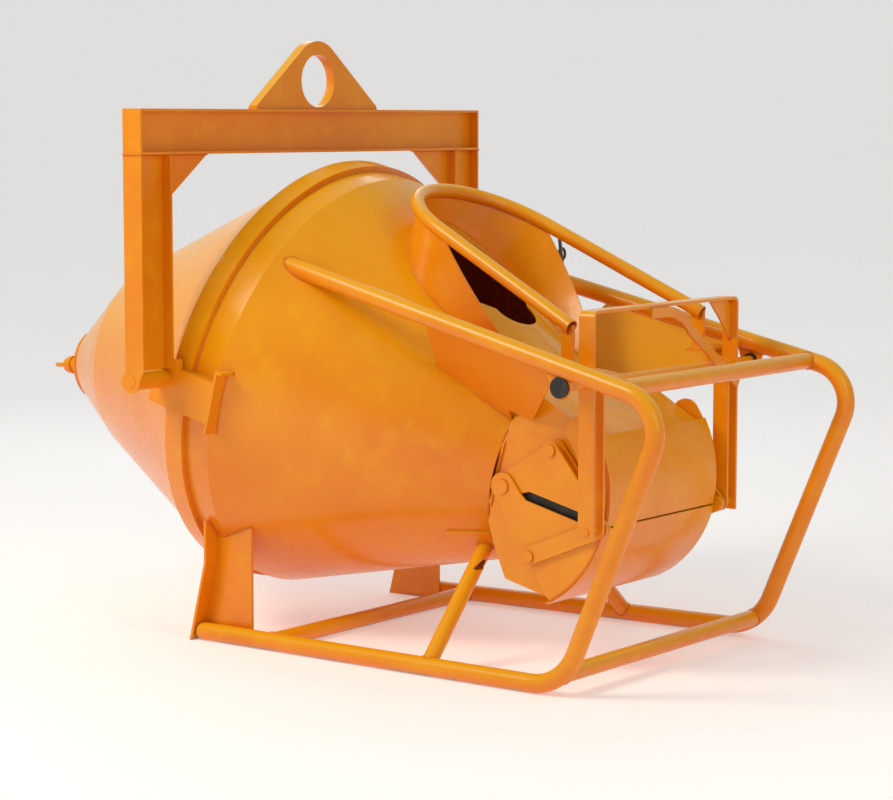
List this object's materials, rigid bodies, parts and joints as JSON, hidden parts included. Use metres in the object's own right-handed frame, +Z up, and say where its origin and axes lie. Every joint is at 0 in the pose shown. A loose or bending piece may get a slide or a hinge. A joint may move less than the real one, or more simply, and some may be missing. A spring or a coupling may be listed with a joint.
{
  "type": "lay-down concrete skip",
  "caption": "Lay-down concrete placing skip: tapered tilting drum in a tube cradle, with raised inlet, swinging lifting bail and lever-worked two-jaw gate.",
  "frame": {"origin": "ground level under the centre of the bounding box", "axes": "+X towards the discharge gate, +Y to the left, +Z up"},
  "size_m": [2.4984, 1.512, 1.6469],
  "materials": {
    "orange_paint": "gloss",
    "bush_polymer": "matte",
    "dark_steel": "satin"
  },
  "bodies": {
    "skid": {"drum_belt": "orange_paint", "front_cross_tube": "orange_paint", "front_shell": "orange_paint", "gate_pins": "orange_paint", "inlet_collar": "orange_paint", "inlet_rim": "orange_paint", "lever_bushes": "bush_polymer", "lever_hanger_left": "orange_paint", "lever_hanger_right": "orange_paint", "neck": "orange_paint", "neck_flange": "orange_paint", "rail_plate_left": "orange_paint", "rail_plate_right": "orange_paint", "rear_boss": "orange_paint", "rear_cross_tube": "orange_paint", "rear_end_plate": "orange_paint", "rear_leg_left": "orange_paint", "rear_leg_right": "orange_paint", "rear_shell": "orange_paint", "rim_ledge_left": "orange_paint", "rim_ledge_right": "orange_paint", "rim_post_left": "orange_paint", "rim_post_right": "orange_paint", "rim_stay": "dark_steel", "side_hoop_left": "orange_paint", "side_hoop_right": "orange_paint", "strut_left": "orange_paint", "strut_pad_left": "orange_paint", "strut_pad_right": "orange_paint", "strut_right": "orange_paint", "top_cross_tube": "orange_paint", "trunnion_bracket_left": "orange_paint", "trunnion_bracket_right": "orange_paint", "trunnion_pins": "orange_paint", "trunnion_spacers": "orange_paint"},
    "bail": {"bail_beam": "orange_paint", "bail_gusset_left": "orange_paint", "bail_gusset_right": "orange_paint", "bail_leg_left": "orange_paint", "bail_leg_right": "orange_paint", "lifting_eye": "orange_paint"},
    "lever": {"lever_arch": "orange_paint", "lever_brace": "orange_paint", "lever_corner_plate": "orange_paint", "lever_flat_left": "orange_paint", "lever_flat_right": "orange_paint", "lever_pins": "orange_paint", "lever_shaft": "orange_paint"},
    "upper_jaw": {"upper_cheek_left": "orange_paint", "upper_cheek_right": "orange_paint", "upper_jaw_plate": "orange_paint", "upper_link_pins": "orange_paint"},
    "lower_jaw": {"lower_cheek_left": "orange_paint", "lower_cheek_right": "orange_paint", "lower_jaw_plate": "orange_paint", "lower_link_pins": "orange_paint"},
    "upper_links": {"upper_link_left": "orange_paint", "upper_link_right": "orange_paint"},
    "lower_links": {"lower_link_left": "orange_paint", "lower_link_right": "orange_paint"}
  },
  "joints": [
    {"name": "bail_swing", "type": "hinge", "parent": "skid", "child": "bail", "pos_m": [-0.2304, 0, 0.74], "axis": [0, 1, 0], "range_deg": [-50, 0]},
    {"name": "lower_jaw_open", "type": "hinge", "parent": "skid", "child": "lower_jaw", "pos_m": [0.62837, 0, 0.47731], "axis": [0, 1, 0], "range_deg": [0, 19.7]},
    {"name": "upper_jaw_open", "type": "hinge", "parent": "skid", "child": "upper_jaw", "pos_m": [0.62837, 0, 0.47731], "axis": [0, 1, 0], "range_deg": [-14.4, 0]},
    {"name": "lever_swing", "type": "hinge", "parent": "skid", "child": "lever", "pos_m": [0.94287, 0, 0.77], "axis": [0, 1, 0], "range_deg": [0, 12]},
    {"name": "upper_link_swing", "type": "hinge", "parent": "lever", "child": "upper_links", "pos_m": [0.94287, 0, 0.39539], "axis": [0, 1, 0], "range_deg": [0, 1]},
    {"name": "lower_link_swing", "type": "hinge", "parent": "lever", "child": "lower_links", "pos_m": [0.94287, 0, 0.39539], "axis": [0, 1, 0], "range_deg": [-19.6, 0]}
  ],
  "couplings": [
    {"joint": "upper_jaw_open", "follows": "lower_jaw_open", "ratio": -0.72526},
    {"joint": "lever_swing", "follows": "lower_jaw_open", "ratio": 0.60866},
    {"joint": "upper_link_swing", "follows": "lower_jaw_open", "ratio": 0.04544},
    {"joint": "lower_link_swing", "follows": "lower_jaw_open", "ratio": -0.98802}
  ]
}
